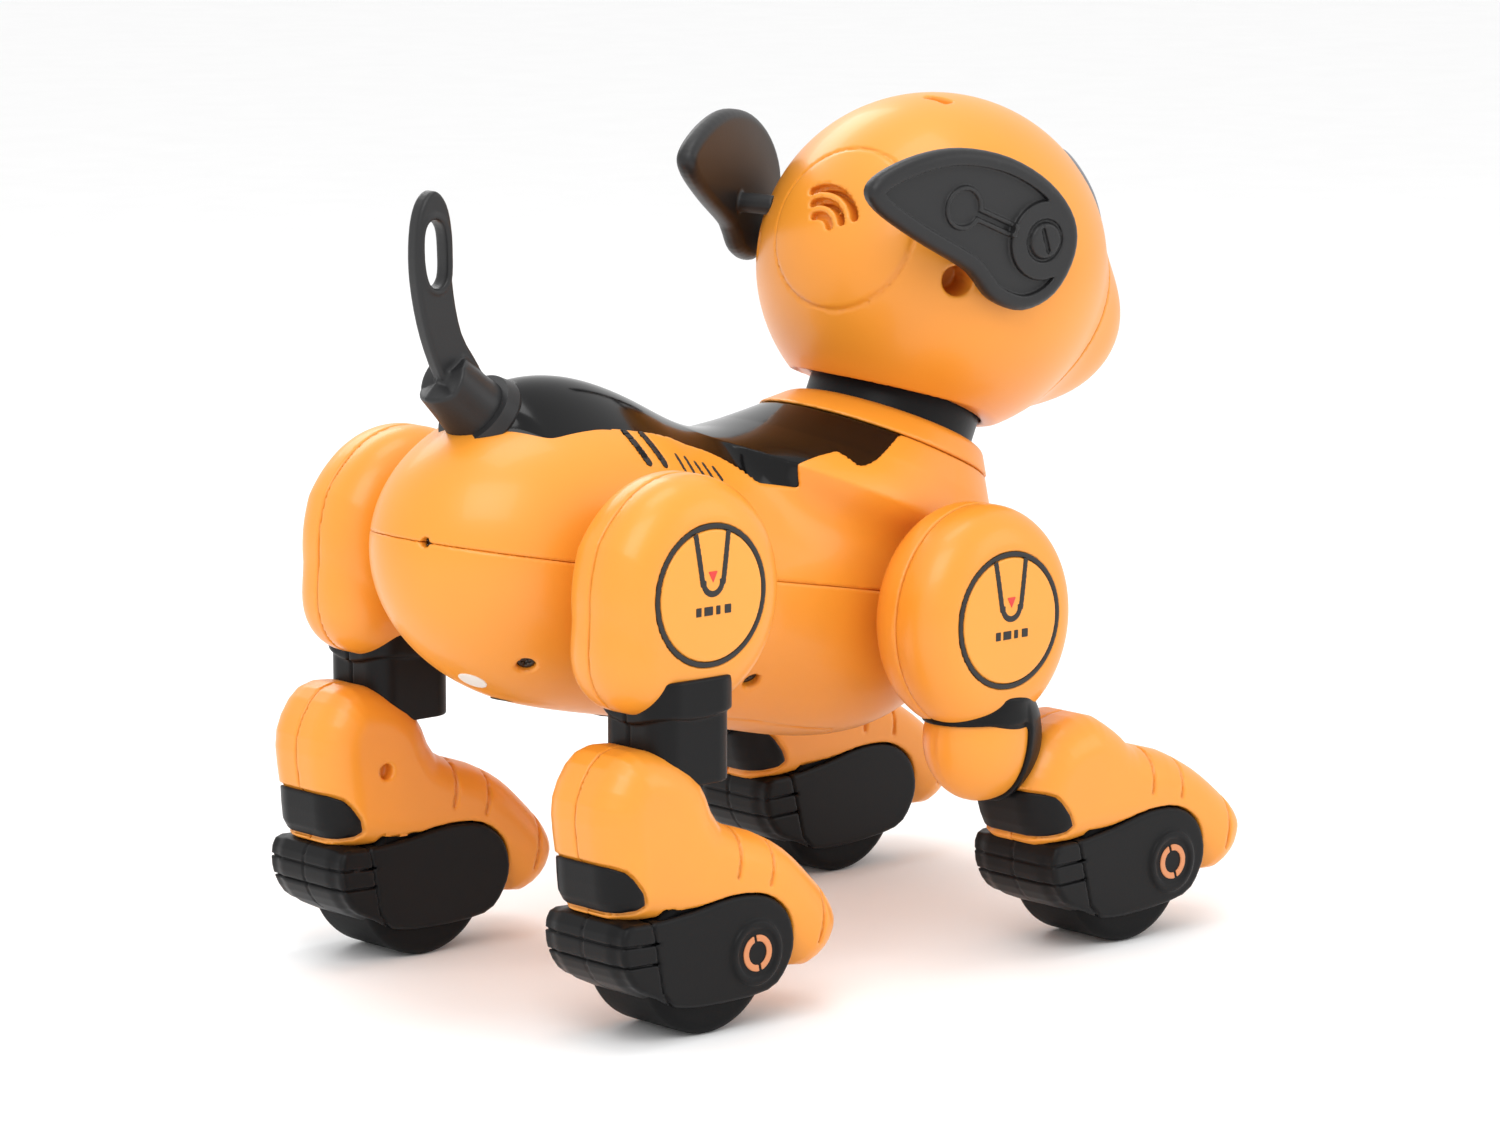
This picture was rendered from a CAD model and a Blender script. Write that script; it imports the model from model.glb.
import math

import bpy
import numpy as np
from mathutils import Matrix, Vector


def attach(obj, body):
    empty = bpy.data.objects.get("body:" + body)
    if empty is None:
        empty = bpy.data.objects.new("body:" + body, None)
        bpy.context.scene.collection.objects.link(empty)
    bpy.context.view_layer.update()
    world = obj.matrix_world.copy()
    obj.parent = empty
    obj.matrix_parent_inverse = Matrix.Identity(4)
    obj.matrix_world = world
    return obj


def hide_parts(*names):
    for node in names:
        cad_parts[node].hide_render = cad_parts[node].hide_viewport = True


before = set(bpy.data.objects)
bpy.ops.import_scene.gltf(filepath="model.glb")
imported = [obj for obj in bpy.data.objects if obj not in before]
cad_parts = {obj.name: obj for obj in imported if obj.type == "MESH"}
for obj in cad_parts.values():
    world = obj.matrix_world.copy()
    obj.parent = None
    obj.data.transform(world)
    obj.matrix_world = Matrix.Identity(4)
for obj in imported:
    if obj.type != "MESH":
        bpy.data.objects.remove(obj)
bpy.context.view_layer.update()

# ------------------------------------------------------------------ driving dimensions, millimetres
MM = 0.001
FINE = 0.85              # factor on the mesh step of the large shells
PITCH = 10.5             # the torso points its nose down by this many degrees
TORSO_AT = np.array([-25.6, 0.0, 120.25])
NECK_AT = np.array([58.9, 0.0, 166.5])
NECK_TILT = 24.0
HEAD_TURN = 10.0
HIP = np.array([-90.5, 133.0])           # centres of the round leg heads, X and Z
SHOULDER = np.array([32.9, 110.5])
HIP_AXIS = (-87.5, 0, 131.8)             # swing axes of the legs
SHOULDER_AXIS = (35.9, 0, 109.2)
LEG_MIDDLE = 65.25                       # middle plane and half width of a leg head
LEG_HALF = 16.25
LEG_HEAD_R = 33.5
CAP_R = 19.7
TRACK = 67.5                             # middle plane of a boot
HIND_AXLE = (-91.5, 25.0)
FRONT_AXLE = (86.747, 25.0)
HIND_CONTACT = -95.1                     # reference point of a boot, X on the floor
FRONT_CONTACT = 84.9
FRONT_PITCH = 4.0                        # the front boots are set toe up
TAIL_AT = np.array([-112.1, 0.0, 180.0])
TAIL_SHIFT = 5.1                         # the tail's outline is drawn this far forward
SPEAKER_N = np.array([-0.947, -0.03, 0.32])
EYE_AT = (15.5, 20)                      # to the side and up, in the head's frame


# ------------------------------------------------------------------ distance functions
def turned(axis, degrees):
    a = math.radians(degrees)
    n = np.array(axis, float) / np.linalg.norm(axis)
    k = np.array([[0, -n[2], n[1]], [n[2], 0, -n[0]], [-n[1], n[0], 0]])
    return np.eye(3) + math.sin(a) * k + (1 - math.cos(a)) * k @ k


TORSO_R = turned((0, 1, 0), PITCH)
NECK_AXIS = np.array([math.sin(math.radians(NECK_TILT)), 0, math.cos(math.radians(NECK_TILT))])
HEAD_R = turned(NECK_AXIS, HEAD_TURN)
HEAD_AT = NECK_AT + HEAD_R @ (np.array([75.9, 0, 211.0]) - NECK_AT)
TAIL_AXIS = np.array([-math.sin(math.radians(48)), 0, math.cos(math.radians(48))])


def length(v):
    return np.sqrt((v * v).sum(-1))


def smin(a, b, k):
    h = np.clip(0.5 + 0.5 * (b - a) / k, 0, 1)
    return b * (1 - h) + a * h - k * h * (1 - h)


def smax(a, b, k):
    return -smin(-a, -b, k)


def ellipsoid(p, c, r):
    q = p - np.array(c, float)
    r = np.array(r, float)
    k0 = length(q / r)
    k1 = length(q / (r * r))
    return k0 * (k0 - 1) / np.maximum(k1, 1e-9)


def capsule(p, a, b, ra, rb):
    a = np.array(a, float)
    ab = np.array(b, float) - a
    t = np.clip(((p - a) @ ab) / (ab @ ab), 0, 1)
    return length(p - (a + t[..., None] * ab)) - (ra + (rb - ra) * t)


def rod(p, c, axis, radius, half, edge=0.0):
    n = np.array(axis, float) / np.linalg.norm(axis)
    q = p - np.array(c, float)
    z = q @ n
    w = np.stack([length(q - z[..., None] * n) - radius + edge, np.abs(z) - half + edge], -1)
    return length(np.maximum(w, 0)) + np.minimum(w.max(-1), 0) - edge


def block(p, c, half, edge):
    q = np.abs(p - np.array(c, float)) - (np.array(half, float) - edge)
    return length(np.maximum(q, 0)) + np.minimum(q.max(-1), 0) - edge


def slab(flat, across, half, edge):
    w = np.stack([flat + edge, np.abs(across) - half + edge], -1)
    return length(np.maximum(w, 0)) + np.minimum(w.max(-1), 0) - edge


def stroke(x, y, a, b):
    ax, ay = a
    ex, ey = b[0] - ax, b[1] - ay
    t = np.clip(((x - ax) * ex + (y - ay) * ey) / (ex * ex + ey * ey), 0, 1)
    return np.hypot(x - ax - t * ex, y - ay - t * ey)


def outline(x, y, points):
    best = np.full(x.shape, 1e18)
    sign = np.ones(x.shape)
    for i in range(len(points)):
        a, b = points[i], points[i - 1]
        ex, ey = b[0] - a[0], b[1] - a[1]
        wx, wy = x - a[0], y - a[1]
        t = np.clip((wx * ex + wy * ey) / (ex * ex + ey * ey), 0, 1)
        best = np.minimum(best, (wx - ex * t) ** 2 + (wy - ey * t) ** 2)
        cross = ex * wy - ey * wx
        flip = ((y >= a[1]) & (y < b[1]) & (cross > 0)) | ((y < a[1]) & (y >= b[1]) & (cross < 0))
        sign = np.where(flip, -sign, sign)
    return sign * np.sqrt(best)


def smooth(points, steps=4):
    pts = np.array(points, float)
    made = []
    for i in range(len(pts)):
        p0, p1 = pts[i - 1], pts[i]
        p2, p3 = pts[(i + 1) % len(pts)], pts[(i + 2) % len(pts)]
        for t in np.arange(steps) / steps:
            made.append(0.5 * (2 * p1 + (p2 - p0) * t + (2 * p0 - 5 * p1 + 4 * p2 - p3) * t * t
                               + (3 * p1 - p0 - 3 * p2 + p3) * t ** 3))
    return np.array(made)


def engrave(d, region, depth, k=0.3):
    return smax(d, smin(-region, d + depth, k), k)


def emboss(d, region, height, k=0.3):
    return smin(d, smax(region, d - height, k), k)


# ------------------------------------------------------------------ meshing
def nets(fn, lo, hi, step):
    """Mesh where fn is zero, within the box: a coarse grid first, a fine one near the surface, then
    each vertex is walked onto the surface along the slope of fn."""
    lo = np.array(lo, float)
    hi = np.array(hi, float)
    m = np.ceil((hi - lo) / step / 4).astype(int) + 1
    n = 4 * m + 1
    lines = [lo[i] + 4 * step * np.arange(m[i] + 1) for i in range(3)]
    coarse = np.stack(np.meshgrid(*lines, indexing="ij"), -1)
    c = fn(coarse.reshape(-1, 3)).reshape(coarse.shape[:3])
    near = [(np.arange(k) + 2) // 4 for k in n]
    d = c[np.ix_(*near)]
    mask = np.abs(d) < 3.5 * step * 1.7 + 0.6
    d[mask] = fn(lo + step * np.argwhere(mask))
    for axis in range(3):
        for end in (0, -1):
            edge = [slice(None)] * 3
            edge[axis] = end
            d[tuple(edge)] = np.maximum(d[tuple(edge)], 0.3 * step)
    corners = [(x, y, z) for x in (0, 1) for y in (0, 1) for z in (0, 1)]
    cut = lambda a, o: a[o[0]:n[0] - 1 + o[0], o[1]:n[1] - 1 + o[1], o[2]:n[2] - 1 + o[2]]
    inside = d < 0
    count = sum(cut(inside, o).astype(np.int8) for o in corners)
    active = (count > 0) & (count < 8)
    ids = np.full(active.shape, -1)
    ids[active] = np.arange(active.sum())
    values = [cut(d, o)[active] for o in corners]
    place = np.zeros((len(values[0]), 3))
    hits = np.zeros(len(values[0]))
    for i, a in enumerate(corners):
        for j, b in enumerate(corners):
            if j > i and sum(abs(u - v) for u, v in zip(a, b)) == 1:
                cross = (values[i] < 0) != (values[j] < 0)
                t = values[i][cross] / (values[i][cross] - values[j][cross])
                place[cross] += np.array(a) + t[:, None] * (np.array(b) - np.array(a))
                hits[cross] += 1
    verts = lo + step * (np.argwhere(active) + place / hits[:, None])
    faces = []
    for axis in range(3):
        u, v = (axis + 1) % 3, (axis + 2) % 3
        first = [slice(1, -1)] * 3
        second = [slice(1, -1)] * 3
        first[axis] = slice(0, -1)
        second[axis] = slice(1, None)
        a, b = inside[tuple(first)], inside[tuple(second)]
        for mask, order in ((a & ~b, (0, 1, 2, 3)), (~a & b, (3, 2, 1, 0))):
            at = np.argwhere(mask)
            at[:, u] += 1
            at[:, v] += 1
            ring = []
            for du, dv in ((-1, -1), (0, -1), (0, 0), (-1, 0)):
                cell = at.copy()
                cell[:, u] += du
                cell[:, v] += dv
                ring.append(ids[cell[:, 0], cell[:, 1], cell[:, 2]])
            faces.append(np.stack([ring[k] for k in order], -1))
    faces = np.concatenate(faces)
    reach = 0.05
    for _ in range(4):
        value = fn(verts)
        ahead = [fn(verts + reach * e) - fn(verts - reach * e) for e in np.eye(3)]
        slope = np.stack(ahead, -1) / (2 * reach)
        move = value[:, None] * slope / np.maximum((slope * slope).sum(-1), 0.05)[:, None]
        size = np.maximum(length(move), 1e-9)
        verts = verts - move * np.minimum(1, 0.45 * step / size)[:, None]
    return verts, faces


WORLD = (np.zeros(3), np.eye(3))
TORSO = (TORSO_AT, TORSO_R)
HEAD = (HEAD_AT, HEAD_R)


def piece(name, made, body, material, nodes=(), at=WORLD, mirror=False):
    """Object from a mesh in one of the local frames; it rides on a body and stands for CAD nodes."""
    verts, faces = made
    verts = verts * np.array([1, -1 if mirror else 1, 1])
    if mirror:
        faces = faces[:, ::-1]
    verts = verts @ at[1].T + at[0]
    mesh = bpy.data.meshes.new(name)
    mesh.vertices.add(len(verts))
    mesh.vertices.foreach_set("co", (verts * MM).astype(np.float32).ravel())
    mesh.loops.add(faces.size)
    mesh.loops.foreach_set("vertex_index", faces.astype(np.int32).ravel())
    mesh.polygons.add(len(faces))
    mesh.polygons.foreach_set("loop_start", np.arange(0, faces.size, 4, dtype=np.int32))
    mesh.polygons.foreach_set("use_smooth", np.ones(len(faces), bool))
    mesh.update(calc_edges=True)
    mesh.validate()
    mesh.materials.append(material)
    obj = bpy.data.objects.new(name, mesh)
    bpy.context.scene.collection.objects.link(obj)
    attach(obj, body)
    if nodes:
        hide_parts(*nodes)
    return obj


# ------------------------------------------------------------------ materials
def linear(rgb):
    """Linear colour from screen values of 0 to 255."""
    scaled = [c / 255 for c in rgb]
    return tuple(c / 12.92 if c <= 0.04045 else ((c + 0.055) / 1.055) ** 2.4 for c in scaled)


def moulded(name, colour, rough, grain=900.0, bump=0.05, mottle=0.05, coat=0.0, wear=0.12, spread=0.08,
            glow=0.0, shine=0.5):
    """Moulded plastic: cloudy colour and roughness, a fine grain, and edges rubbed lighter."""
    mat = bpy.data.materials.new(name)
    mat.use_nodes = True
    tree = mat.node_tree
    tree.nodes.clear()
    new = tree.nodes.new
    link = tree.links.new
    out = new("ShaderNodeOutputMaterial")
    shade = new("ShaderNodeBsdfPrincipled")
    link(shade.outputs["BSDF"], out.inputs["Surface"])
    coords = new("ShaderNodeTexCoord")
    cloud = new("ShaderNodeTexNoise")
    cloud.inputs["Scale"].default_value = 22.0
    cloud.inputs["Detail"].default_value = 5.0
    link(coords.outputs["Object"], cloud.inputs["Vector"])
    fine = new("ShaderNodeTexNoise")
    fine.inputs["Scale"].default_value = grain
    fine.inputs["Detail"].default_value = 3.0
    link(coords.outputs["Object"], fine.inputs["Vector"])
    base = linear(colour)
    ramp = new("ShaderNodeValToRGB")
    ramp.color_ramp.elements[0].position = 0.3
    ramp.color_ramp.elements[1].position = 0.7
    ramp.color_ramp.elements[0].color = (*[c * (1 - mottle) for c in base], 1)
    ramp.color_ramp.elements[1].color = (*[min(1, c * (1 + mottle)) for c in base], 1)
    link(cloud.outputs["Fac"], ramp.inputs["Fac"])
    geometry = new("ShaderNodeNewGeometry")
    edge = new("ShaderNodeMapRange")
    edge.inputs["From Min"].default_value = 0.52
    edge.inputs["From Max"].default_value = 0.60
    edge.inputs["To Max"].default_value = wear
    link(geometry.outputs["Pointiness"], edge.inputs["Value"])
    mix = new("ShaderNodeMix")
    mix.data_type = "RGBA"
    link(edge.outputs["Result"], mix.inputs["Factor"])
    link(ramp.outputs["Color"], mix.inputs["A"])
    mix.inputs["B"].default_value = (*[min(1, c * 1.35 + 0.05) for c in base], 1)
    link(mix.outputs["Result"], shade.inputs["Base Color"])
    polish = new("ShaderNodeMapRange")
    polish.inputs["To Min"].default_value = max(0.02, rough - spread)
    polish.inputs["To Max"].default_value = rough + spread
    link(cloud.outputs["Fac"], polish.inputs["Value"])
    link(polish.outputs["Result"], shade.inputs["Roughness"])
    relief = new("ShaderNodeBump")
    relief.inputs["Strength"].default_value = bump
    relief.inputs["Distance"].default_value = 0.0002
    link(fine.outputs["Fac"], relief.inputs["Height"])
    link(relief.outputs["Normal"], shade.inputs["Normal"])
    shade.inputs["Specular IOR Level"].default_value = shine
    shade.inputs["Coat Weight"].default_value = coat
    shade.inputs["Coat Roughness"].default_value = 0.08
    if glow:
        shade.inputs["Emission Color"].default_value = (*base, 1)
        shade.inputs["Emission Strength"].default_value = glow
    return mat


ORANGE = moulded("orange_abs", (233, 148, 45), 0.38, bump=0.06, mottle=0.04, coat=0.12, spread=0.05)
ORANGE_CAP = moulded("orange_cap", (238, 155, 52), 0.36, bump=0.05, mottle=0.03, coat=0.12, spread=0.05)
GLOSS = moulded("gloss_black", (7, 7, 8), 0.13, grain=400, bump=0.02, mottle=0.15, coat=0.1,
                spread=0.03, shine=0.2)
BLACK = moulded("satin_black", (17, 17, 18), 0.40, grain=1100, bump=0.12, mottle=0.12, shine=0.16, wear=0.05)
RUBBER = moulded("soft_black", (32, 32, 33), 0.42, grain=1400, bump=0.15, mottle=0.10, shine=0.35, wear=0.08)
TYRE = moulded("tyre_black", (11, 11, 12), 0.55, grain=800, bump=0.3, mottle=0.15, shine=0.14, wear=0.04)
INK = moulded("ink_black", (20, 18, 17), 0.5, bump=0.04, mottle=0.1)
RED = moulded("red_mark", (214, 52, 44), 0.4, bump=0.04)
WHITE = moulded("label_white", (232, 228, 220), 0.5, bump=0.05, mottle=0.03)
GREY = moulded("trim_grey", (120, 122, 126), 0.4, bump=0.08)
STEEL = moulded("screw_steel", (70, 66, 62), 0.35, grain=2000, bump=0.1)
STEEL.node_tree.nodes["Principled BSDF"].inputs["Metallic"].default_value = 1.0
AMBER = moulded("hub_amber", (206, 132, 84), 0.35, bump=0.06)
EYE = moulded("eye_light", (120, 205, 255), 0.3, glow=1.4)
BOARD = moulded("board_green", (30, 96, 60), 0.45, grain=600, bump=0.2)
WRAP = moulded("battery_wrap", (40, 70, 140), 0.35)


# ------------------------------------------------------------------ torso
def torso(q):
    rump = ellipsoid(q, (-57, 0, 4), (65, 46, 48))
    chest = ellipsoid(q, (48, 0, -4), (54, 43, 43))
    middle = ellipsoid(q, (0, 0, -4), (75, 42.5, 42.5))
    return smin(smin(rump, middle, 14), chest, 14)


def to_torso(p):
    return (np.array(p, float) - TORSO_AT) @ TORSO_R


NECK_IN_TORSO = to_torso(NECK_AT)
NECK_AXIS_IN_TORSO = NECK_AXIS @ TORSO_R
NECK_REAR = np.array([-math.cos(math.radians(NECK_TILT)), 0, math.sin(math.radians(NECK_TILT))])
NECK_REAR_IN_TORSO = NECK_REAR @ TORSO_R
BAND_TOP = -5.0          # collar band, along the neck axis
BAND_FOOT = -13.2
COVER_LOW = 33           # the cover's region ends here, above the spine
COVER_ENDS = -98, 66     # tail and neck ends of the cover
VENTS = -57.5, -50.5     # the two slots on the flank, along the spine
VENT_TOP, VENT_FOOT = 43.5, 36.0
# stations along the spine and half width of the cover: narrow at the tail, full over the rump, drawn
# in at the waist, full again, then the notch
COVER = [(-104, 6), (-82, 22.5), (-56, 24), (-24, 19.5), (8, 32), (22, 32), (28, 38.5), (60, 29)]


def eased(x, stations):
    """Value that passes from station to station, level at each."""
    value = np.full(x.shape, float(stations[0][1]))
    for (x0, v0), (x1, v1) in zip(stations, stations[1:]):
        t = np.clip((x - x0) / (x1 - x0), 0, 1)
        value = value + (v1 - v0) * t * t * (3 - 2 * t)
    return value


def cover_side(q):
    """Negative inside the back cover's region, seen from above."""
    side = (np.abs(q[..., 1]) - eased(q[..., 0], COVER)) * 0.75
    side = smax(side, (COVER_ENDS[0] - q[..., 0]) * 0.9, 1.0)
    side = smax(side, (q[..., 0] - COVER_ENDS[1]) * 0.9, 1.0)
    return smax(side, (COVER_LOW - q[..., 2]) * 0.9, 1.0)


def about_neck(q):
    """Height along the neck axis, distance from it, and how far to the rear the point lies."""
    r = q - NECK_IN_TORSO
    h = r @ NECK_AXIS_IN_TORSO
    radius = np.maximum(length(r - h[..., None] * NECK_AXIS_IN_TORSO), 1e-6)
    return h, radius, (r @ NECK_REAR_IN_TORSO) / radius


def mound(q):
    """Flare under the collar, drawn out towards the back."""
    h, radius, rearward = about_neck(q)
    t = np.clip(rearward, 0, 1) ** 1.5
    front = np.interp(h, [-40, -22, -12, -5], [46, 40, 35, 31.5])
    rear = np.interp(h, [-36, -24, -13, -5], [76, 58, 43, 32])
    d = (radius - front * (1 - t) - rear * t) * 0.62
    return smax(d, h - BAND_TOP, 2.5)


def form(q):
    """Whole orange body."""
    return smin(torso(q), smax(mound(q), -about_neck(q)[0] - 42, 14), 18)


def hump(q):
    """Top of the back cover, raised over the rump."""
    rear = ellipsoid(q, (-68, 0, 20), (46, 25, 37.5))
    front = ellipsoid(q, (-20, 0, 8), (70, 24, 36))
    raised = smax(smin(rear, front, 25), cover_side(q) + 0.5, 2.0)
    return smin(raised, form(q) + 0.45, 6)


def collar(q):
    h, radius, _ = about_neck(q)
    d = smax(form(q) - 0.35, BAND_FOOT - h, 1.0)
    d = smax(d, radius - 60, 1)
    return smax(d, -(radius - 22), 0.6)


# screw holes: centre, outward direction, radius; the belly's are on both sides
HOLES = [((-120.5, -11.5, 4.0), (-1.0, -0.1, 0.0), 1.6), ((-86.5, -26.5, -30.0), (-0.35, -0.6, -0.72), 3.0),
         ((-2.0, -35.0, -28.5), (0, -0.75, -0.66), 3.0)]
HOLES += [((c[0], -c[1], c[2]), (n[0], -n[1], n[2]), r) for c, n, r in HOLES[1:]]
HIP_IN_TORSO = to_torso(HIP_AXIS)
SHOULDER_IN_TORSO = to_torso(SHOULDER_AXIS)


def vent(q, x0):
    """Distance from the middle line of a flank slot."""
    return stroke(q[..., 0], q[..., 2], (x0 - 1.6, VENT_TOP), (x0 + 1.6, VENT_FOOT))


def shell(q, upper):
    d = form(q)
    y = np.abs(q[..., 1])
    h, radius, _ = about_neck(q)
    d = smax(d, np.minimum(h - BAND_FOOT + 0.3, 70 - radius), 0.4)
    for axis_at in (HIP_IN_TORSO, SHOULDER_IN_TORSO):
        d = smax(d, -rod(q * np.array([1, 0, 1]), axis_at, (0, 1, 0), 5.0, 90), 0.5)
    for centre, normal, radius in HOLES:
        d = smax(d, -rod(q, centre, normal, radius, 4.0), 0.5)
    if upper:
        d = smax(d, -cover_side(q), 0.9)
        for x0 in VENTS:
            d = engrave(d, np.maximum(vent(q, x0) - 1.15, 20 - y), 2.2)
        return smax(d, 4.0 - q[..., 2], 0.55)
    door = block(q, (18, 0, -50), (33, 19.5, 40), 4)
    d = engrave(d, np.abs(door) - 0.35, 0.9)
    return smax(d, q[..., 2] - 4.0, 0.55)


def back_cover(q):
    h, radius, _ = about_neck(q)
    top = hump(q)
    d = smax(top, cover_side(q) - 2.2, 0.6)
    d = smax(d, np.minimum(h - BAND_FOOT + 0.3, 90 - radius), 0.4)
    return smax(d, -(top + 4), 0.6)


def screws(q):
    d = np.full(q.shape[:-1], 1e3)
    for centre, normal, radius in HOLES:
        n = np.array(normal) / np.linalg.norm(normal)
        head = rod(q, np.array(centre) - n * 3.3, n, radius - 0.25, 0.9, 0.3)
        side = np.cross(n, (0, 0, 1.0))
        side /= np.linalg.norm(side)
        over = np.cross(n, side)
        r = q - np.array(centre)
        a, b = r @ side, r @ over
        upright = np.maximum(np.abs(a) - 0.35, np.abs(b) - 1.5)
        level = np.maximum(np.abs(b) - 0.35, np.abs(a) - 1.5)
        cross = np.minimum(upright, level)
        d = np.minimum(d, smax(head, -np.maximum(cross, -(r @ n) - 3.2), 0.1))
    return d


def sticker(q):
    spot = np.array([-90.0, -6.5, -37.0])
    return smax(length(q - spot) - 4.6, np.abs(torso(q) + 0.02) - 0.28, 0.15)


def bars(q):
    y = -q[..., 1]
    d = np.full(q.shape[:-1], 1e3)
    for k in range(5):
        x0 = -40.5 + 4.6 * k
        tall = (3.4, 3.4, 2.0, 2.6, 2.0)[k]
        top = (x0 - 0.8, 37.0 + tall * 0.5 - k * 0.5)
        foot_end = (x0 + 0.8, 37.0 - tall - k * 0.5)
        line = stroke(q[..., 0], q[..., 2], top, foot_end)
        d = np.minimum(d, line - 0.65)
    for x0 in VENTS:
        d = np.minimum(d, vent(q, x0) - 1.25)
    return smax(np.maximum(d, 20 - np.abs(y)), np.abs(form(q)) - 0.22, 0.12)


def on_torso(name, made, material, nodes=()):
    piece(name, made, "torso", material, nodes, TORSO)


UPPER_BOX = (-124, -52, 3), (114, 52, 68)
LOWER_BOX = (-124, -50, -52), (114, 50, 5)
on_torso("body_shell_upper_skin", nets(lambda q: shell(q, True), *UPPER_BOX, 0.86),
         ORANGE, ["body_shell_upper"])
on_torso("body_shell_lower_skin", nets(lambda q: shell(q, False), *LOWER_BOX, 1.25 * FINE),
         ORANGE, ["body_shell_lower", "battery_door"])
on_torso("back_cover_skin", nets(back_cover, (-112, -42, 9), (72, 42, 72), 0.72),
         GLOSS, ["back_cover"])
on_torso("neck_collar_skin", nets(collar, (0, -52, -12), (120, 52, 82), 0.85),
         ORANGE, ["neck_collar"])
on_torso("case_screws_skin", nets(screws, (-126, -42, -40), (6, 42, 12), 0.42),
         STEEL, ["torso_screws"])
on_torso("round_label", nets(sticker, (-98, -14, -44), (-82, 2, -30), 0.3), WHITE)
on_torso("flank_bars", nets(bars, (-62, -46, 28), (-16, 46, 48), 0.4), INK)


def neck_ring(p):
    d = rod(p, NECK_AT - NECK_AXIS * 3, NECK_AXIS, 28, 17, 0.9)
    r = p - NECK_AT
    h = r @ NECK_AXIS
    radius = length(r - h[..., None] * NECK_AXIS)
    return smax(d, -(radius - 24), 0.5)


piece("neck_ring_skin", nets(neck_ring, (22, -31, 135), (94, 31, 194), 0.9 * FINE), "torso",
      BLACK, ["neck_ring"])


# ------------------------------------------------------------------ tail
# outlines, X and Z: up the rear edge, round the tip and down the front edge; then the eyelet
TAIL_LINE = smooth([(-121, 190), (-128, 205), (-131.8, 222), (-132, 236), (-129.7, 245.5), (-125, 249.5),
                    (-120.5, 245.5), (-118.3, 236), (-118.4, 222), (-115, 206), (-107.5, 193), (-113, 185)])
EYELET = smooth([(-125.3, 241), (-121.5, 238), (-120.6, 230), (-121, 223), (-124, 220), (-127.5, 222),
                 (-129.2, 229), (-128.8, 238)])


def tail(p):
    x = p[..., 0] + TAIL_SHIFT
    flat = outline(x, p[..., 2], TAIL_LINE)
    hole = outline(x, p[..., 2], EYELET)
    d = slab(np.maximum(flat, -hole), p[..., 1], 2.7, 1.3)
    d = smin(d, slab(smax(hole - 1.9, -hole, 0.4), p[..., 1], 3.2, 0.9), 0.6)
    q = p - TAIL_AT
    h = q @ TAIL_AXIS
    radius = length(q - h[..., None] * TAIL_AXIS)
    side = np.cross(TAIL_AXIS, (0, 1.0, 0))
    angle = np.arctan2(q[..., 1], q @ side)
    sleeve = smax((radius - np.interp(h, [0, 16], [11.2, 8.6])) * 0.92, np.abs(h - 7) - 9, 0.8)
    zigzag = 15.5 + 2.2 * np.abs(((angle * 1.5 / math.pi) % 1) * 2 - 1)
    crown = np.maximum((h - zigzag - 2.5) * 0.7, 2 - h)
    upper = smax((radius - np.interp(h, [0, 22], [10.6, 8.8])) * 0.92, crown, 0.8)
    flange = rod(p, TAIL_AT - TAIL_AXIS * 0.2, TAIL_AXIS, 13.6, 1.2, 0.6)
    low = smin(smin(sleeve, upper, 0.4), flange, 0.6)
    low = smax(low, -rod(p, TAIL_AT - TAIL_AXIS * 12, TAIL_AXIS, 4.6, 10, 0.2), 0.3)
    return smin(d, low, 1.2)


piece("tail_skin", nets(tail, (-140, -15, 168), (-95, 15, 254), 0.62), "tail",
      RUBBER, ["tail"])


# ------------------------------------------------------------------ head
def skull(q):
    dome = ellipsoid(q, (0, 0, 0), (58.5, 55.5, 55.5))
    snout = ellipsoid(q, (37, 0, -17), (31, 44.5, 33))
    return smin(dome, snout, 9)


# the round speaker grille on the back of the head: outward direction, then across and up in its plane
DISC_N = SPEAKER_N / np.linalg.norm(SPEAKER_N)
DISC_RIGHT = np.cross(DISC_N, (0, 0, 1.0)) * -1
DISC_RIGHT = DISC_RIGHT / np.linalg.norm(DISC_RIGHT)
DISC_RIGHT = DISC_RIGHT * (1 if DISC_RIGHT[1] < 0 else -1)
DISC_UP = np.array([0, 0, 1.0]) - DISC_N[2] * DISC_N
DISC_UP = DISC_UP / np.linalg.norm(DISC_UP)
JAW_N = np.array([0.867, 0, -0.5])


def neck_clear(q):
    r = q @ HEAD_R.T + HEAD_AT - NECK_AT
    h = r @ NECK_AXIS
    radius = length(r - h[..., None] * NECK_AXIS)
    return np.maximum(radius - 28.8, h - 14.8), h


def visor_area(q):
    w = np.stack([np.abs(q[..., 1]) - 36 + 13, np.abs(q[..., 2] - 20) - 18 + 13], -1)
    d = length(np.maximum(w, 0)) + np.minimum(w.max(-1), 0) - 13
    return np.maximum(d, 20 - q[..., 0])


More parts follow.
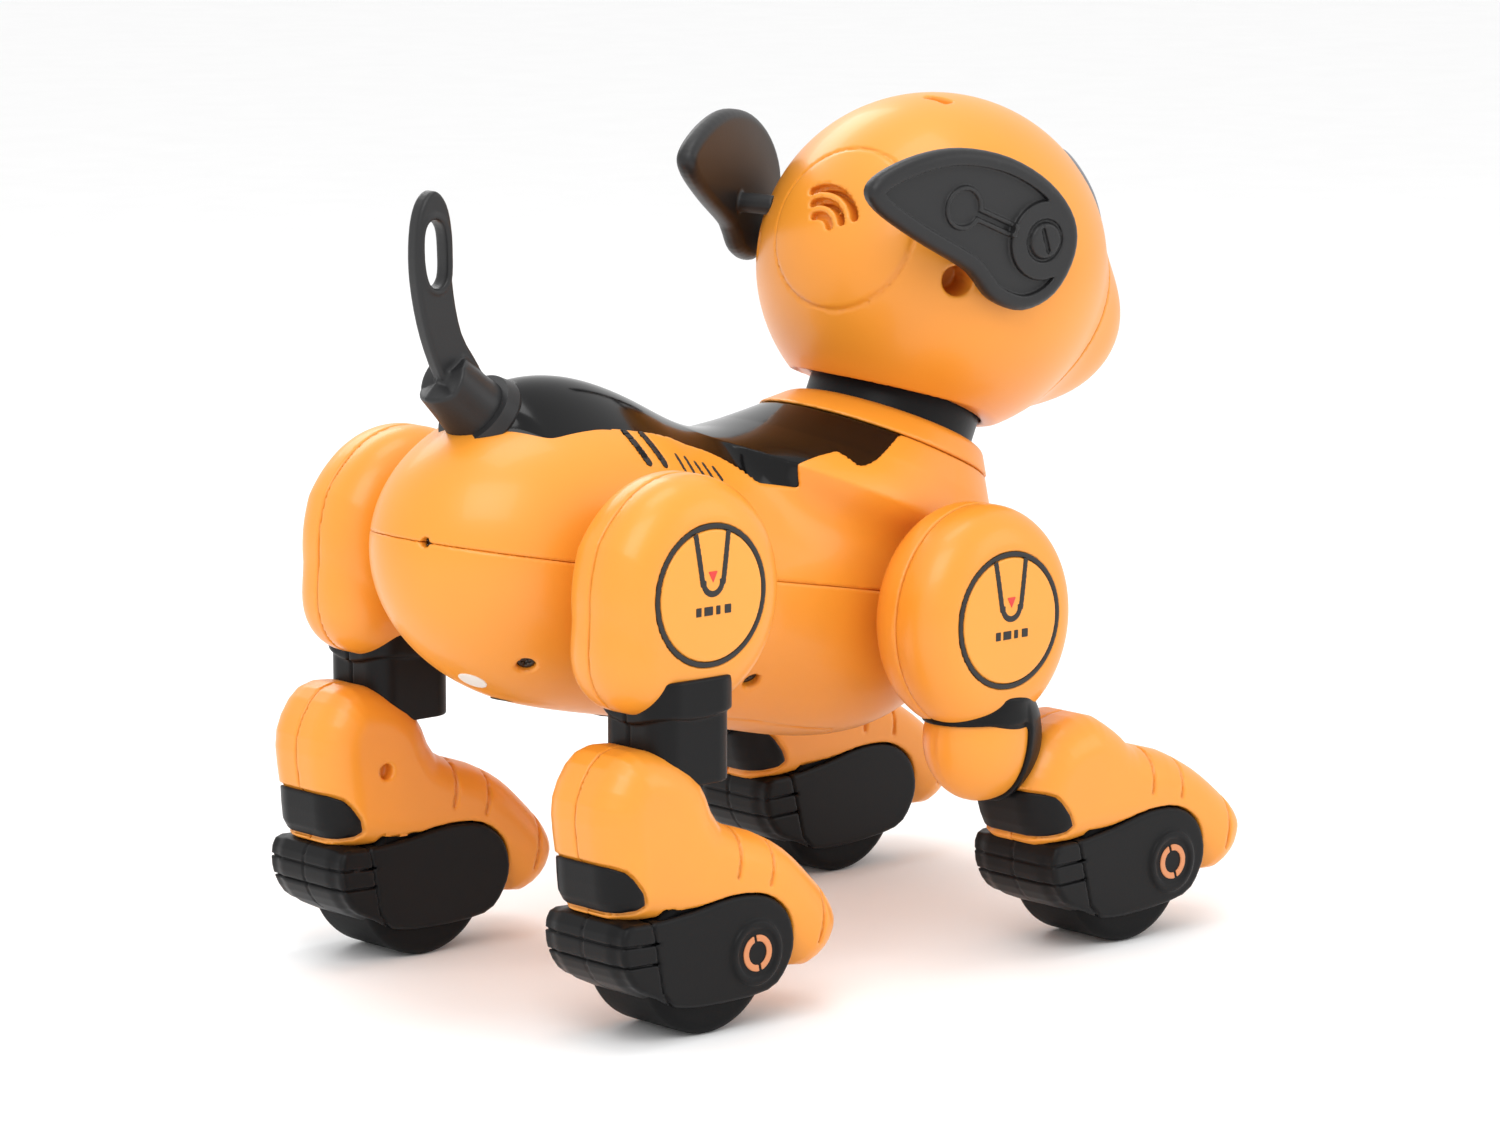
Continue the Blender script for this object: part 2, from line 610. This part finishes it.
def skull_detail(q):
    """Skull with the grille's ring, its three sound slots, side holes, crown slot and neck pocket."""
    d = skull(q)
    r = q - DISC_N * 55
    a, b = r @ DISC_RIGHT, r @ DISC_UP
    back = -(q @ DISC_N)
    ring = np.hypot(a, b) - 25.5
    front = np.maximum(ring, back + 20)
    d = emboss(d, front, 0.5, 0.8)
    d = engrave(d, np.maximum(np.abs(ring - 0.7) - 0.4, back + 20), 0.6, 0.4)
    lean = math.radians(18)
    arcs_at = np.array([-55.9, 4.2, 15.5]) - DISC_N * 55
    c = np.array([DISC_RIGHT @ arcs_at, DISC_UP @ arcs_at])
    x = (a - c[0]) * math.cos(lean) - (b - c[1]) * math.sin(lean)
    y = (a - c[0]) * math.sin(lean) + (b - c[1]) * math.cos(lean)
    half = math.radians(46)
    for radius in (5.2, 9.8, 14.4):
        arc = np.hypot(x, y)
        spread = math.sin(half) * radius
        end = np.hypot(np.abs(x) - spread, y - math.cos(half) * radius)
        line = np.where(np.abs(x) < y * math.tan(half), np.abs(arc - radius), end)
        d = engrave(d, np.maximum(line - 1.35, back + 20), 3.2)
    for s in (-1, 1):
        d = smax(d, -rod(q, (-39.5, s * 40, 4.5), (-0.6, s, 0.0), 4.8, 14), 0.8)
    slot = block(q, (-7, -4, 56), (2.0, 5, 4), 1.2)
    d = smax(d, -slot, 0.5)
    clear, h = neck_clear(q)
    under = length((q @ HEAD_R.T + HEAD_AT - NECK_AT) - h[..., None] * NECK_AXIS) - 34
    d = smax(d, -np.maximum(h - 3.6, under), 1.5)
    return smax(d, -clear, 0.6)


def open_skull(q):
    return smax(skull_detail(q), -(visor_area(q) - 0.4), 0.5)


def jaw(q):
    """Distance past the seam between skull and muzzle."""
    return (q - np.array([38, 0, 0])) @ JAW_N


def head_shell(q):
    return smax(open_skull(q), jaw(q) + 0.25, 0.5)


def muzzle(q):
    d = open_skull(q)
    mouth = stroke(np.abs(q[..., 1]), q[..., 2], (0, -31), (15, -27)) - 0.7
    d = engrave(d, np.maximum(mouth, 30 - q[..., 0]), 1.6)
    return smax(d, 0.25 - jaw(q), 0.5)


def visor(q):
    d = smax(skull(q) - 0.2, visor_area(q) + 2.6, 0.8)
    return smax(d, -(skull(q) + 4), 0.6)


def visor_trim(q):
    area = visor_area(q)
    d = smax(skull(q) - 0.7, np.abs(area + 1.2) - 1.25, 0.6)
    return smax(d, -(skull(q) + 4), 0.6)


def eyes(q):
    spot = np.hypot(np.abs(q[..., 1]) - EYE_AT[0], (q[..., 2] - EYE_AT[1]) / 1.25) - 6.5
    ring = np.maximum(spot, -spot - 3.6)
    return smax(np.maximum(ring, 20 - q[..., 0]), np.abs(skull(q) - 0.1) - 0.35, 0.15)


def nose(q):
    return ellipsoid(q, (66.0, 0, -11.5), (5.0, 8.0, 7.0))


def on_head(name, made, material, nodes=()):
    piece(name, made, "head", material, nodes, HEAD)


on_head("head_shell_skin", nets(head_shell, (-61, -58, -58), (62, 58, 58), 0.98 * FINE),
        ORANGE, ["head_shell", "speaker"])
on_head("muzzle_skin", nets(muzzle, (0, -58, -58), (71, 58, 40), 0.98 * FINE),
        ORANGE, ["muzzle_shell"])
on_head("visor_skin", nets(visor, (20, -38, 0), (62, 38, 41), 0.8), GLOSS, ["face_visor"])
on_head("visor_trim", nets(visor_trim, (18, -40, 0), (62, 40, 42), 0.6), GREY)
on_head("eye_lights", nets(eyes, (30, -26, 8), (62, 26, 32), 0.45), EYE)
on_head("nose_skin", nets(nose, (60, -9, -20), (74, 9, -3), 0.5), RUBBER, ["nose"])

LEAN = math.radians(17.8)
EAR_BACK = np.array([-math.cos(LEAN), -math.sin(LEAN), 0])
EAR_OUT = np.array([-math.sin(LEAN), math.cos(LEAN), 0])
# outline, backwards and up from EAR_AT: along the lower edge to the tip, back over the top, round the front
EAR_LINE = smooth([(0, 1), (18, 10.5), (33, 20), (37, 26.5), (32, 32), (18, 37), (2, 38.5), (-16, 35),
                   (-32, 26.5), (-42, 15), (-43, 3), (-36, -9), (-24, -13.8), (-12, -10), (-5, -3)])
EAR_AT = np.array([-50, 51, 10.0])
EAR_STEM_AT = np.array([-50, 51, 18]) - EAR_BACK * 5 - EAR_OUT * 12
BUTTON = (-29.7, 8.5)    # round button near the ear's front end
KEY = (1.3, 20.0)        # round end of the raised key shape


def ear(q):
    r = q - EAR_AT
    t, z, o = r @ EAR_BACK, r[..., 2], r @ EAR_OUT
    flat = outline(t, z, EAR_LINE)
    w = np.stack([flat + 3.0, np.abs(o + 3.5) - 0.5], -1)
    d = length(np.maximum(w, 0)) + np.minimum(w.max(-1), 0) - 3.0
    outer = -o - 3.0
    button = np.hypot(t - BUTTON[0], z - BUTTON[1])
    panel = np.maximum(flat + 5.0, 12.5 - button)
    d = engrave(d, np.maximum(panel, outer), 1.9, 0.4)
    bar = np.maximum(stroke(t, z, KEY, (-17, 12.5)) - 1.6, 12.5 - button)
    key = np.minimum(np.hypot(t - KEY[0], z - KEY[1]) - 6.3, bar)
    d = emboss(d, np.maximum(np.abs(key) - 0.7, outer), 1.2, 0.3)
    d = engrave(d, np.maximum(np.abs(button - 6.3) - 0.55, outer), 0.9)
    d = emboss(d, np.maximum(button - 5.4, outer), 0.7, 0.4)
    slot = stroke(t - BUTTON[0], z - BUTTON[1], (-1.2, -3.4), (1.2, 3.4)) - 0.75
    d = engrave(d, np.maximum(slot, outer), 1.2)
    return smin(d, rod(q, EAR_STEM_AT, EAR_OUT, 3.2, 7.0, 0.5), 1.0)


ear_mesh = nets(ear, (-92, 30, -6), (2, 78, 50), 0.62)
piece("ear_left_skin", ear_mesh, "ear_left", RUBBER, ["ear_left"], HEAD)
piece("ear_right_skin", ear_mesh, "ear_right", RUBBER, ["ear_right"], HEAD, True)


# ------------------------------------------------------------------ legs
def ball(p, centre, hind):
    x, z, y = p[..., 0] - centre[0], (p[..., 2] - centre[1] + 0.9) / 1.07, p[..., 1] - LEG_MIDDLE
    d = np.hypot(x, z) - LEG_HEAD_R
    if hind:
        flat = np.stack([x, 0 * x, z], -1)
        d = smin(d, capsule(flat, (-8, 0, -6), (-19, 0, -17), 27, 14.5), 8)
    return slab(d, y, LEG_HALF, 13)


def thigh(p, centre, hind, outer):
    d = ball(p, centre, hind)
    x, z, y = p[..., 0] - centre[0], p[..., 2] - centre[1], p[..., 1]
    if outer:
        d = engrave(d, np.maximum(np.abs(np.hypot(x, z) - 20.8) - 0.9, 75 - y), 0.9)
        return smax(d, TRACK - 2.05 - y, 0.4)
    return smax(d, y - TRACK + 2.45, 0.4)


def cap_face(radius):
    """Y of the side cap's domed face."""
    return LEG_MIDDLE + LEG_HALF + 0.9 - radius ** 2 / 900


def cap(p, centre):
    x, z, y = p[..., 0] - centre[0], p[..., 2] - centre[1], p[..., 1]
    radius = np.hypot(x, z)
    d = smax(radius - CAP_R, y - cap_face(radius), 0.5)
    return smax(d, LEG_MIDDLE + LEG_HALF - 1.2 - y, 0.1)


def cap_mark(p, centre, mark):
    """Printed mark on a side cap: the U outline, the ring round it, the triangle, or the bars."""
    x, z, y = p[..., 0] - centre[0], p[..., 2] - centre[1], p[..., 1]
    radius = np.hypot(x, z)
    skin = np.abs(y - cap_face(radius)) - 0.2
    if mark == "u":
        half = np.interp(z, [0, 20], [3.4, 6.6])
        inner = np.maximum(np.abs(x) - half, 4.0 - z)
        round_end = np.hypot(x, z - 4.2) - 3.6
        flat = np.abs(np.minimum(inner, round_end)) - 0.95
        flat = np.maximum(flat, radius - 20)
    elif mark == "ring":
        return smax(np.abs(radius - 20.75) - 0.85, np.abs(y - LEG_MIDDLE - LEG_HALF + 0.35) - 0.5, 0.2)
    elif mark == "triangle":
        flat = np.maximum(z - 7.4, (np.abs(x) * 1.9 - (z - 4.0)) * 0.47)
    else:
        flat = np.full(x.shape, 1e3)
        for k, wide in enumerate((1.3, 2.1, 1.0, 1.6)):
            bar = np.maximum(np.abs(x + 5.6 - 3.8 * k) - wide * 0.8, np.abs(z + 4.4) - 1.35)
            flat = np.minimum(flat, bar)
    return smax(flat, skin, 0.1)


def ankle(p):
    x, z, y = p[..., 0] + 95.0, p[..., 2], p[..., 1] - 66.8
    step = 92 + 0.012 * x * x + 0.02 * y * y
    w = np.stack([np.abs(x) - 16.6 + 9, np.abs(y) - 15.8 + 9], -1)
    flat = length(np.maximum(w, 0)) + np.minimum(w.max(-1), 0) - 9
    upper = smax(flat, np.abs(z - 99) - 9.5, 1)
    upper = smax(upper, (step - z) * 0.9, 0.6)
    lower = smax(flat + 1.4, np.abs(z - 92) - 16, 1)
    d = smin(upper, lower, 0.5)
    seam = np.maximum(np.abs(y) - 0.35, x)
    return engrave(d, seam, 0.8)


def calf(p):
    return ellipsoid(p, (35.0, 66.5, 71.5), (20.0, 15.5, 20.5))


def shin(p):
    d = calf(p)
    y = np.abs(p[..., 1] - 66.5)
    return engrave(d, y - 0.3, 0.7)


def knee_band(p):
    x, z = p[..., 0], p[..., 2]
    tube = rod(p, (36.0, 66.5, 80.5), (0.1, 0, 1), 15.5, 5.4, 1.5)
    band = smin(smax(calf(p) - 1.2, np.abs(z - 82.0) - 4.4, 0.8), tube, 1.5)
    strap = smax(calf(p) - 1.5, 41.5 + 0.12 * (z - 71.5) - x, 1.2)
    return smin(band, smax(strap, z - 84, 0.5), 1.5)


# outlines seen from the side, forward and up from a boot's reference point: up the heel, over the
# ankle, down the instep to the toe, and back under the sole
HIND_LINE = smooth([(-32, 40), (-35.5, 56), (-36.5, 74), (-27, 87.5), (-12, 87), (2, 78), (10, 64), (25, 58),
                    (37, 51.5), (47.5, 42), (54.5, 34), (57, 26), (52, 17), (40, 14), (20, 30),
                    (-10, 34)], 3)
FRONT_LINE = smooth([(-31, 36), (-38, 50), (-36.5, 62), (-26, 73), (-9, 76), (3, 69), (11, 62), (24, 57.5),
                     (38, 49), (48.5, 40), (55, 33), (57, 26), (52, 17), (40, 14), (20, 30),
                     (-10, 34)], 3)
# wheel housing, and the black panel on the heel
PLATE = smooth([(-32, 38), (-22, 38.5), (-6, 39.5), (10, 41.5), (23, 40), (31.5, 34), (34.5, 25), (32, 17),
                (24, 10.5), (2, 9.5), (-12, 11), (-20, 15), (-29, 20), (-33.5, 29)], 3)
HEEL = smooth([(-70, 57.5), (-44, 57.5), (-33, 56), (-28, 52.5), (-23.5, 43.8), (-31, 41.5), (-44, 41),
               (-70, 41)], 2)
HUB = 18.5, 23.2         # hub badge on the housing


def foot(p, front):
    x = p[..., 0] - (FRONT_CONTACT if front else HIND_CONTACT)
    z = p[..., 2]
    if front:
        a = math.radians(FRONT_PITCH)
        x, z = x * math.cos(a) + z * math.sin(a), -x * math.sin(a) + z * math.cos(a)
    return x, p[..., 1] - TRACK, z


def wheel_clear(p, front):
    axle = FRONT_AXLE if front else HIND_AXLE
    return rod(p, (axle[0], TRACK, axle[1]), (0, 1, 0), 25.8, 16.6, 0.3)


def boot_body(x, y, z, front):
    flat = outline(x, z, FRONT_LINE if front else HIND_LINE)
    d = slab(flat, y, 18.3, 12)
    for a, b in (((17, 66), (12, 47)), ((30, 58), (25, 43)), ((52, 48), (45, 22))):
        d = engrave(d, stroke(x, z, a, b) - 0.55, 1.3)
    return d


def boot(p, front, outer):
    x, y, z = foot(p, front)
    d = boot_body(x, y, z, front)
    heel = outline(x, z, HEEL)
    d = engrave(d, heel - 0.5, 1.2)
    top = outline(x, z, PLATE)
    d = smax(d, -(top - 0.5), 0.5)
    d = smax(d, -wheel_clear(p, front), 0.4)
    hole = rod(np.stack([x, y, z], -1), (-15, -18, 62), (0, 1, 0), 2.6, 4)
    d = smax(d, -hole, 0.5)
    return smax(d, 0.2 - y if outer else y + 0.2, 0.35)


def heel_panel(p, front):
    x, y, z = foot(p, front)
    d = boot_body(x, y, z, front)
    d = smax(smax(d + 0.15, -d - 2.0, 0.3), outline(x, z, HEEL) + 0.25, 0.8)
    return d


def housing(p, front):
    x, y, z = foot(p, front)
    flat = outline(x, z, PLATE)
    d = slab(flat, y, 18.5, 1.6)
    tail_end = np.minimum(stroke(x, z, (-22.6, 42), (-18.2, 16.8)), stroke(x, z, (-18.2, 16.8), (-11, 8)))
    d = smin(d, slab(smax(flat - 0.8, x + 18 + (z - 16.8) * 0.2, 1.0), y, 17.6, 7.0), 1.0)
    d = engrave(d, np.maximum(tail_end - 0.4, 10 - np.abs(y)), 0.9)
    behind = x + 19
    for level in (26.0, 32.2):
        d = engrave(d, np.maximum(np.abs(z - level + 0.04 * (x + 25)) - 0.35, behind), 1.0)
    d = engrave(d, np.maximum(np.abs(y) - 0.3, behind), 0.8)
    hub = slab(np.hypot(x - HUB[0], z - HUB[1]) - 10.0, y - 1.2, 18.3, 0.6)
    d = smin(d, hub, 0.4)
    d = engrave(d, np.maximum(np.hypot(x - HUB[0], z - HUB[1]) - 7.6, 17 - y), 0.5)
    return smax(d, -wheel_clear(p, front), 0.4)


def hub_ring(p, front):
    x, y, z = foot(p, front)
    r = np.hypot(x - HUB[0], z - HUB[1])
    flat = np.maximum(np.abs(r - 4.6) - 1.0, 0.55 - np.abs(x - HUB[0] + (z - HUB[1]) * 0.2))
    return smax(flat, np.abs(y - 19.0) - 0.4, 0.15)


def leg_pieces(centre, front):
    """Meshes of a left leg: name, mesh, slot, material, and the nodes each stands for."""
    cx, cz = centre
    contact = FRONT_CONTACT if front else HIND_CONTACT
    head_box = (cx - 37, 47, cz - 36), (cx + 36, 84, cz + 36)
    boot_box = (contact - 45, 47, 6), (contact + 64, 90, 96)
    cap_box = (cx - 22, 78, cz - 22), (cx + 22, 86, cz + 22)
    arrow_box = (cx - 4, 79, cz), (cx + 4, 85, cz + 10)
    bars_box = (cx - 9, 79, cz - 8), (cx + 9, 85, cz)
    heel_box = (contact - 45, 47, 36), (contact - 8, 90, 62)
    housing_box = (contact - 42, 47, 6), (contact + 40, 89, 46)
    hub_box = (contact + 8, 84, 12), (contact + 30, 90, 34)

    def thigh_half(outer, step):
        return nets(lambda p: thigh(p, centre, not front, outer), *head_box, step)

    def mark(which, box, step):
        return nets(lambda p: cap_mark(p, centre, which), *box, step)

    def boot_half(outer, step):
        return nets(lambda p: boot(p, front, outer), *boot_box, step)

    def on_foot(shape, box, step):
        return nets(lambda p: shape(p, front), *box, step)

    orange, black = "orange_shell", "black_plastic"
    made = [
        ("thigh_outer_skin", thigh_half(True, 0.95), orange, ORANGE, ["thigh_outer"]),
        ("thigh_inner_skin", thigh_half(False, 1.1), orange, ORANGE, ["thigh_inner"]),
        ("side_cap_skin", nets(lambda p: cap(p, centre), *cap_box, 0.55), orange, ORANGE_CAP, ["side_cap"]),
        ("cap_ring", mark("ring", cap_box, 0.42), black, INK, []),
        ("cap_outline", mark("u", cap_box, 0.33), black, INK, []),
        ("cap_arrow", mark("triangle", arrow_box, 0.2), orange, RED, []),
        ("cap_bars", mark("bars", bars_box, 0.25), black, INK, []),
        ("boot_outer_skin", boot_half(True, 0.85), orange, ORANGE, ["boot_outer"]),
        ("boot_inner_skin", boot_half(False, 0.95), orange, ORANGE, ["boot_inner"]),
        ("heel_panel", on_foot(heel_panel, heel_box, 0.6), black, BLACK, []),
        ("wheel_housing_skin", on_foot(housing, housing_box, 0.72), black, BLACK, ["wheel_housing"]),
        ("hub_ring", on_foot(hub_ring, hub_box, 0.3), orange, AMBER, []),
    ]
    if front:
        strap = nets(knee_band, (10, 48, 44), (74, 84, 92), 0.7)
        made.append(("knee_bracket_skin", strap, black, BLACK, ["knee_bracket"]))
        made.append(("shin_skin", nets(shin, (13, 49, 49), (57, 84, 94), 0.9), orange, ORANGE, []))
    else:
        bracket = nets(ankle, (-116, 48, 74), (-76, 84, 110), 0.7)
        made.append(("knee_bracket_skin", bracket, black, BLACK, ["knee_bracket"]))
    return made


for leg, centre, front in (("hind", HIP, False), ("front", SHOULDER, True)):
    made = leg_pieces(centre, front)
    for side, mirror in (("left", False), ("right", True)):
        name = f"{leg}_{side}"
        for part, mesh, slot, material, nodes in made:
            stands_for = [f"{name}_{n}" for n in nodes]
            piece(f"{name}_{part}", mesh, f"{name}_leg", material, stands_for, WORLD, mirror)

# ------------------------------------------------------------------ carried-over frame nodes
FINISH = {"wheel": TYRE, "hip_shaft": STEEL, "battery_pack": WRAP, "main_board": BOARD,
          "power_switch": BLACK, "charge_socket": STEEL, "tail_socket": RUBBER, "gearbox": GREY,
          "motor": GREY, "neck_shaft": GREY}
for name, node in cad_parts.items():
    if node.hide_render:
        continue
    chosen = next((m for key, m in FINISH.items() if key in name), BLACK)
    node.data.materials.clear()
    node.data.materials.append(chosen)

# ------------------------------------------------------------------ studio
floor_mesh = bpy.data.meshes.new("floor")
floor_mesh.from_pydata([(-40, -40, 0), (40, -40, 0), (40, 40, 0), (-40, 40, 0)], [], [(0, 1, 2, 3)])
floor = bpy.data.objects.new("floor", floor_mesh)
bpy.context.scene.collection.objects.link(floor)
PAPER = moulded("floor_paper", (250, 250, 250), 0.8, grain=60, bump=0.02, mottle=0.01, wear=0.0)
floor_mesh.materials.append(PAPER)

world = bpy.data.worlds.new("studio")
bpy.context.scene.world = world
world.use_nodes = True
world.node_tree.nodes["Background"].inputs["Color"].default_value = (1, 1, 1, 1)
world.node_tree.nodes["Background"].inputs["Strength"].default_value = 1.0


def soft_light(name, place, aim, size, power):
    data = bpy.data.lights.new(name, "AREA")
    data.shape = "RECTANGLE"
    data.size = size[0]
    data.size_y = size[1]
    data.energy = power
    lamp = bpy.data.objects.new(name, data)
    bpy.context.scene.collection.objects.link(lamp)
    lamp.location = place
    lamp.rotation_mode = "QUATERNION"
    lamp.rotation_quaternion = (Vector(aim) - Vector(place)).to_track_quat("-Z", "Y")


soft_light("key", (-0.9, -0.7, 1.3), (0, 0, 0.12), (0.9, 0.9), 9)
soft_light("fill", (0.9, -1.2, 0.7), (0, 0, 0.12), (0.8, 0.8), 3)
soft_light("rim", (0.3, 1.2, 1.0), (0, 0, 0.15), (0.9, 0.5), 5)
soft_light("top", (0.0, 0.0, 1.5), (0, 0, 0.1), (0.7, 0.5), 4)

lens = bpy.data.cameras.new("camera")
lens.lens = 137.73
lens.sensor_width = 36
camera = bpy.data.objects.new("camera", lens)
bpy.context.scene.collection.objects.link(camera)
camera.location = (-1.1947, -1.3342, 0.4305)
camera.rotation_mode = "QUATERNION"
camera.rotation_quaternion = (Vector((-0.00228, 0, 0.12234)) - camera.location).to_track_quat("-Z", "Y")
bpy.context.scene.camera = camera
bpy.context.scene.view_settings.view_transform = "Standard"

bpy.context.view_layer.update()
